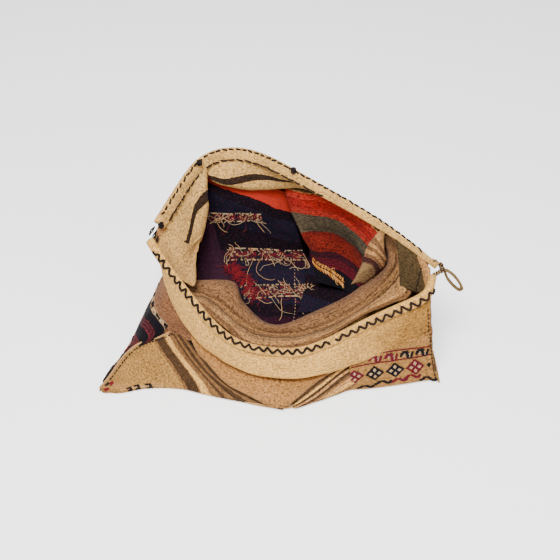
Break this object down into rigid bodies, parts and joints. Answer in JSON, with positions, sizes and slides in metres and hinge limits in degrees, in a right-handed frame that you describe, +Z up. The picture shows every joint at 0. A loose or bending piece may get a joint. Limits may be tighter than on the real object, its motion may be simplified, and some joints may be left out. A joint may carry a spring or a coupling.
{
  "type": "woven storage sack",
  "caption": "Empty hand-woven wool storage sack, open at the mouth and slumped on the ground, with a rolled stitched rim and a plaited hanging loop.",
  "frame": {"origin": "on the ground, under the middle of the sack's overall outline", "axes": "+Z up; +Y towards the back of the sack, where the rim stands high; +X to its right, along the longest extent, where the hanging loop is"},
  "size_m": [0.624, 0.3935, 0.3076],
  "materials": {
    "wheat_cloth": "matte woven wool",
    "striped_cloth": "matte woven wool",
    "brocade_cloth": "matte woven wool",
    "brocade_reverse": "matte woven wool",
    "banded_cloth": "matte woven wool",
    "dark_thread": "matte woven wool",
    "cream_yarn": "matte woven wool",
    "red_yarn": "matte woven wool",
    "gold_yarn": "matte woven wool",
    "plaited_cord": "matte woven wool"
  },
  "bodies": {
    "sack": {"back_facing_stitching": "dark_thread", "back_hem": "wheat_cloth", "back_hem_facing": "wheat_cloth", "back_hem_stitching": "dark_thread", "back_wall": "brocade_cloth", "basting_thread": "cream_yarn", "border_lines": "red_yarn", "bottom_edge_roll": "brocade_cloth", "brocade_field": "brocade_reverse", "brocade_lower_row": "brocade_reverse", "brocade_middle_row": "brocade_reverse", "brocade_upper_row": "brocade_reverse", "diamond_motifs": "red_yarn", "front_belly": "striped_cloth", "front_drape": "wheat_cloth", "front_hem": "wheat_cloth", "gold_motif": "gold_yarn", "ground_cloth": "brocade_cloth", "hook_motifs": "red_yarn", "inner_back_band": "wheat_cloth", "inner_fold": "striped_cloth", "inner_left_seam": "dark_thread", "inner_left_wall": "wheat_cloth", "inner_right_seam": "dark_thread", "inner_right_wall": "wheat_cloth", "left_corner_lacing": "dark_thread", "left_dark_stripes": "dark_thread", "left_seam_stitching": "dark_thread", "left_side_panel": "brocade_cloth", "loose_weft_ends": "cream_yarn", "red_darn": "red_yarn", "right_corner_panel": "wheat_cloth", "right_corner_whipping": "dark_thread", "right_seam_stitching": "dark_thread", "rim_knots": "dark_thread", "striped_bands": "banded_cloth", "zigzag_stitching": "dark_thread"},
    "loop": {"hanging_loop": "plaited_cord"}
  },
  "joints": [
    {"name": "loop_swing", "type": "hinge", "parent": "sack", "child": "loop", "pos_m": [0.288, -0.043, 0.187], "axis": [0, 1, 0], "range_deg": [-120, 38]}
  ]
}
